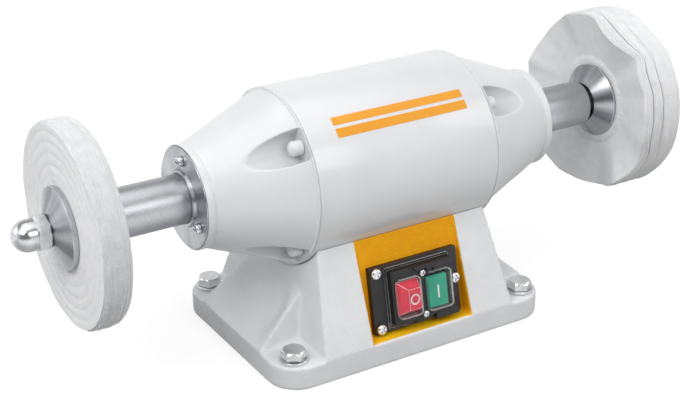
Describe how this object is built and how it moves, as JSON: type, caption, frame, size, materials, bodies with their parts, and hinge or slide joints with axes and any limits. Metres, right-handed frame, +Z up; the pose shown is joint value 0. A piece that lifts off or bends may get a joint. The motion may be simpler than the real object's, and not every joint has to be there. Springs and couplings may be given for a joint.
{
  "type": "bench polishing machine",
  "caption": "Double-ended bench polishing machine: motor on a cast base, a cotton buff on each spindle end, and stop and start buttons in a recess in front.",
  "frame": {"origin": "on the surface it stands on, under the middle of the base", "axes": "+X along the spindle to the right of a person at the switch, -Y towards that person, +Z up"},
  "size_m": [0.5646, 0.1678, 0.2093],
  "materials": {
    "cast_paint": "satin",
    "white_enamel": "gloss",
    "zinc_plate": "satin",
    "machined_steel": "satin",
    "bright_nut": "polished",
    "fastener_zinc": "gloss",
    "laminations": "matte",
    "copper_wire": "satin",
    "tray_paint": "matte",
    "can_aluminium": "satin",
    "cream_plastic": "matte",
    "black_plastic": "satin",
    "clear_vinyl": "gloss",
    "red_plastic": "satin",
    "green_plastic": "satin",
    "stitched_cotton": "matte",
    "loose_cotton": "matte"
  },
  "bodies": {
    "machine": {"base_casting": "cast_paint", "bottom_tray": "tray_paint", "capacitor": "can_aluminium", "terminal_block": "cream_plastic", "cable_gland": "black_plastic", "mounting_bolt_1": "fastener_zinc", "mounting_bolt_2": "fastener_zinc", "mounting_bolt_3": "fastener_zinc", "mounting_bolt_4": "fastener_zinc", "mounting_washer_1": "fastener_zinc", "mounting_washer_2": "fastener_zinc", "mounting_washer_3": "fastener_zinc", "mounting_washer_4": "fastener_zinc", "saddle_bolt_left": "fastener_zinc", "saddle_bolt_right": "fastener_zinc", "motor_housing": "white_enamel", "stator_core": "laminations", "tie_rod_1": "white_enamel", "tie_rod_2": "white_enamel", "tie_rod_3": "white_enamel", "tie_rod_4": "white_enamel", "end_bell_left": "white_enamel", "end_bell_right": "white_enamel", "bearing_cover_left": "zinc_plate", "bearing_cover_right": "zinc_plate", "sleeve_tube_left": "zinc_plate", "sleeve_tube_right": "zinc_plate", "winding_left": "copper_wire", "winding_right": "copper_wire", "bearing_outer_left": "machined_steel", "bearing_outer_right": "machined_steel", "cover_screw_left_1": "fastener_zinc", "cover_screw_left_2": "fastener_zinc", "cover_screw_left_3": "fastener_zinc", "cover_screw_right_1": "fastener_zinc", "cover_screw_right_2": "fastener_zinc", "cover_screw_right_3": "fastener_zinc", "switch_plate": "black_plastic", "button_cover": "clear_vinyl", "switch_bezel": "black_plastic", "switch_body": "black_plastic", "plate_screw_1": "fastener_zinc", "plate_screw_2": "fastener_zinc", "plate_screw_3": "fastener_zinc", "bezel_screw_1": "fastener_zinc", "bezel_screw_2": "fastener_zinc"},
    "spindle": {"shaft": "machined_steel", "rotor_core": "laminations", "bearing_inner_left": "machined_steel", "bearing_inner_right": "machined_steel", "inner_flange_left": "machined_steel", "inner_flange_right": "machined_steel", "outer_flange_left": "machined_steel", "outer_flange_right": "machined_steel", "cap_nut_left": "bright_nut", "cap_nut_right": "bright_nut", "buff_left": "stitched_cotton", "buff_right": "loose_cotton"},
    "stop_push": {"stop_button": "red_plastic"},
    "start_push": {"start_button": "green_plastic"}
  },
  "joints": [
    {"name": "spindle_spin", "type": "hinge", "parent": "machine", "child": "spindle", "pos_m": [0, 0, 0.1343], "axis": [1, 0, 0], "continuous": true},
    {"name": "stop_press", "type": "slide", "parent": "machine", "child": "stop_push", "axis": [0, 0.9802, -0.1982], "range_m": [0, 0.0025], "stiffness_N_per_m": 400, "springref_m": -0.001},
    {"name": "start_press", "type": "slide", "parent": "machine", "child": "start_push", "axis": [0, 0.9802, -0.1982], "range_m": [0, 0.0025], "stiffness_N_per_m": 400, "springref_m": -0.001}
  ]
}
